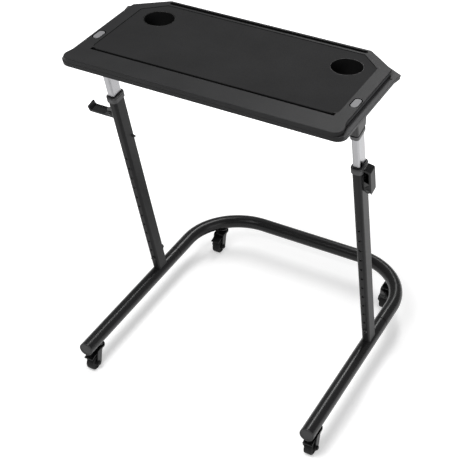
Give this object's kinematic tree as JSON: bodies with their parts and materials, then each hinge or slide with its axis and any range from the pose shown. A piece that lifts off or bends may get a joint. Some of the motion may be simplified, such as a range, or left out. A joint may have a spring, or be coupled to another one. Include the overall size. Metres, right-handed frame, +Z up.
{
  "type": "bike trainer desk",
  "caption": "Height-adjustable rolling desk on two leaning telescopic legs over a U-shaped tube base, with a moulded top, cup wells and braked casters.",
  "frame": {"origin": "on the floor, below the middle of the part's box at rest", "axes": "+Z up; +Y away from the rider, towards the closed end of the base; +X to the right for someone at the desk facing +Y"},
  "size_m": [0.9014, 0.8582, 1.106],
  "materials": {
    "painted_tube": "satin black powder coat",
    "dark_steel": "blackened steel",
    "bright_tube": "brushed silver",
    "zinc_steel": "zinc-plated steel",
    "collar_plastic": "moulded, fine grain",
    "cap_plastic": "moulded, fine grain",
    "desk_plastic": "moulded, fine grain",
    "pan_plastic": "moulded, fine grain",
    "mat_rubber": "matt, non-slip",
    "well_plastic": "moulded black",
    "lozenge_plastic": "moulded grey",
    "ring_plastic": "moulded grey",
    "caster_steel": "black, satin",
    "tyre_rubber": "solid black tread"
  },
  "bodies": {
    "base": {"side_tube_left": "painted_tube", "joint_sleeve_left": "dark_steel", "end_cap_left": "cap_plastic", "leg_stub_left": "dark_steel", "leg_tube_left": "painted_tube", "foot_bolt_left": "dark_steel", "foot_nut_left": "dark_steel", "collar_left": "collar_plastic", "stop_pin_left": "dark_steel", "latch_base_left": "dark_steel", "latch_pin_left": "zinc_steel", "side_tube_right": "painted_tube", "joint_sleeve_right": "dark_steel", "end_cap_right": "cap_plastic", "leg_stub_right": "dark_steel", "leg_tube_right": "painted_tube", "foot_bolt_right": "dark_steel", "foot_nut_right": "dark_steel", "collar_right": "collar_plastic", "stop_pin_right": "dark_steel", "latch_base_right": "dark_steel", "latch_pin_right": "zinc_steel", "rear_tube": "painted_tube", "caster_stem_front_left": "zinc_steel", "caster_stem_front_right": "zinc_steel", "caster_stem_rear_left": "zinc_steel", "caster_stem_rear_right": "zinc_steel"},
    "desktop": {"top_shell": "desk_plastic", "bottom_pan": "pan_plastic", "mat": "mat_rubber", "cup_liner_left": "well_plastic", "leg_socket_left": "dark_steel", "socket_ring_left": "ring_plastic", "inner_tube_left": "bright_tube", "tube_cap_left": "lozenge_plastic", "cup_liner_right": "well_plastic", "leg_socket_right": "dark_steel", "socket_ring_right": "ring_plastic", "inner_tube_right": "bright_tube", "tube_cap_right": "lozenge_plastic"},
    "latch_lever_left": {"latch_lever_left": "painted_tube"},
    "latch_shoe_left": {"latch_shoe_left": "cap_plastic"},
    "latch_lever_right": {"latch_lever_right": "painted_tube"},
    "latch_shoe_right": {"latch_shoe_right": "cap_plastic"},
    "caster_front_left": {"caster_fork_front_left": "caster_steel", "caster_axle_front_left": "caster_steel"},
    "wheel_front_left": {"caster_wheel_front_left": "tyre_rubber"},
    "pedal_front_left": {"brake_pedal_front_left": "caster_steel"},
    "caster_front_right": {"caster_fork_front_right": "caster_steel", "caster_axle_front_right": "caster_steel"},
    "wheel_front_right": {"caster_wheel_front_right": "tyre_rubber"},
    "pedal_front_right": {"brake_pedal_front_right": "caster_steel"},
    "caster_rear_left": {"caster_fork_rear_left": "caster_steel", "caster_axle_rear_left": "caster_steel"},
    "wheel_rear_left": {"caster_wheel_rear_left": "tyre_rubber"},
    "pedal_rear_left": {"brake_pedal_rear_left": "caster_steel"},
    "caster_rear_right": {"caster_fork_rear_right": "caster_steel", "caster_axle_rear_right": "caster_steel"},
    "wheel_rear_right": {"caster_wheel_rear_right": "tyre_rubber"},
    "pedal_rear_right": {"brake_pedal_rear_right": "caster_steel"}
  },
  "joints": [
    {"name": "desktop_slide", "type": "slide", "parent": "base", "child": "desktop", "axis": [0, -0.2463, 0.9692], "range_m": [-0.1, 0.19]},
    {"name": "latch_lever_left", "type": "hinge", "parent": "base", "child": "latch_lever_left", "pos_m": [-0.37467, -0.15267, 0.81442], "axis": [0, 0.9692, 0.2463], "range_deg": [0, 90]},
    {"name": "latch_shoe_left", "type": "slide", "parent": "base", "child": "latch_shoe_left", "axis": [1, 0, 0], "range_m": [0, 0.00101]},
    {"name": "latch_lever_right", "type": "hinge", "parent": "base", "child": "latch_lever_right", "pos_m": [0.43913, -0.15267, 0.81442], "axis": [0, 0.9692, 0.2463], "range_deg": [0, 90]},
    {"name": "latch_shoe_right", "type": "slide", "parent": "base", "child": "latch_shoe_right", "axis": [1, 0, 0], "range_m": [0, 0.00101]},
    {"name": "swivel_front_left", "type": "hinge", "parent": "base", "child": "caster_front_left", "pos_m": [-0.34777, -0.35811, 0.06], "axis": [0, 0, 1], "continuous": true},
    {"name": "wheel_front_left", "type": "hinge", "parent": "caster_front_left", "child": "wheel_front_left", "pos_m": [-0.34777, -0.39111, 0.026], "axis": [1, 0, 0], "continuous": true},
    {"name": "pedal_front_left", "type": "hinge", "parent": "caster_front_left", "child": "pedal_front_left", "pos_m": [-0.34777, -0.37711, 0.061], "axis": [-1, 0, 0], "range_deg": [0, 12]},
    {"name": "swivel_front_right", "type": "hinge", "parent": "base", "child": "caster_front_right", "pos_m": [0.41223, -0.35811, 0.06], "axis": [0, 0, 1], "continuous": true},
    {"name": "wheel_front_right", "type": "hinge", "parent": "caster_front_right", "child": "wheel_front_right", "pos_m": [0.41223, -0.39111, 0.026], "axis": [1, 0, 0], "continuous": true},
    {"name": "pedal_front_right", "type": "hinge", "parent": "caster_front_right", "child": "pedal_front_right", "pos_m": [0.41223, -0.37711, 0.061], "axis": [-1, 0, 0], "range_deg": [0, 12]},
    {"name": "swivel_rear_left", "type": "hinge", "parent": "base", "child": "caster_rear_left", "pos_m": [-0.28747, 0.35289, 0.06], "axis": [0, 0, 1], "continuous": true},
    {"name": "wheel_rear_left", "type": "hinge", "parent": "caster_rear_left", "child": "wheel_rear_left", "pos_m": [-0.28747, 0.31989, 0.026], "axis": [1, 0, 0], "continuous": true},
    {"name": "pedal_rear_left", "type": "hinge", "parent": "caster_rear_left", "child": "pedal_rear_left", "pos_m": [-0.28747, 0.33389, 0.061], "axis": [-1, 0, 0], "range_deg": [0, 12]},
    {"name": "swivel_rear_right", "type": "hinge", "parent": "base", "child": "caster_rear_right", "pos_m": [0.35193, 0.35289, 0.06], "axis": [0, 0, 1], "continuous": true},
    {"name": "wheel_rear_right", "type": "hinge", "parent": "caster_rear_right", "child": "wheel_rear_right", "pos_m": [0.35193, 0.31989, 0.026], "axis": [1, 0, 0], "continuous": true},
    {"name": "pedal_rear_right", "type": "hinge", "parent": "caster_rear_right", "child": "pedal_rear_right", "pos_m": [0.35193, 0.33389, 0.061], "axis": [-1, 0, 0], "range_deg": [0, 12]}
  ],
  "couplings": [
    {"joint": "latch_shoe_left", "follows": "latch_lever_left", "m_per_rad": 0.00063662},
    {"joint": "latch_shoe_right", "follows": "latch_lever_right", "m_per_rad": 0.00063662}
  ]
}
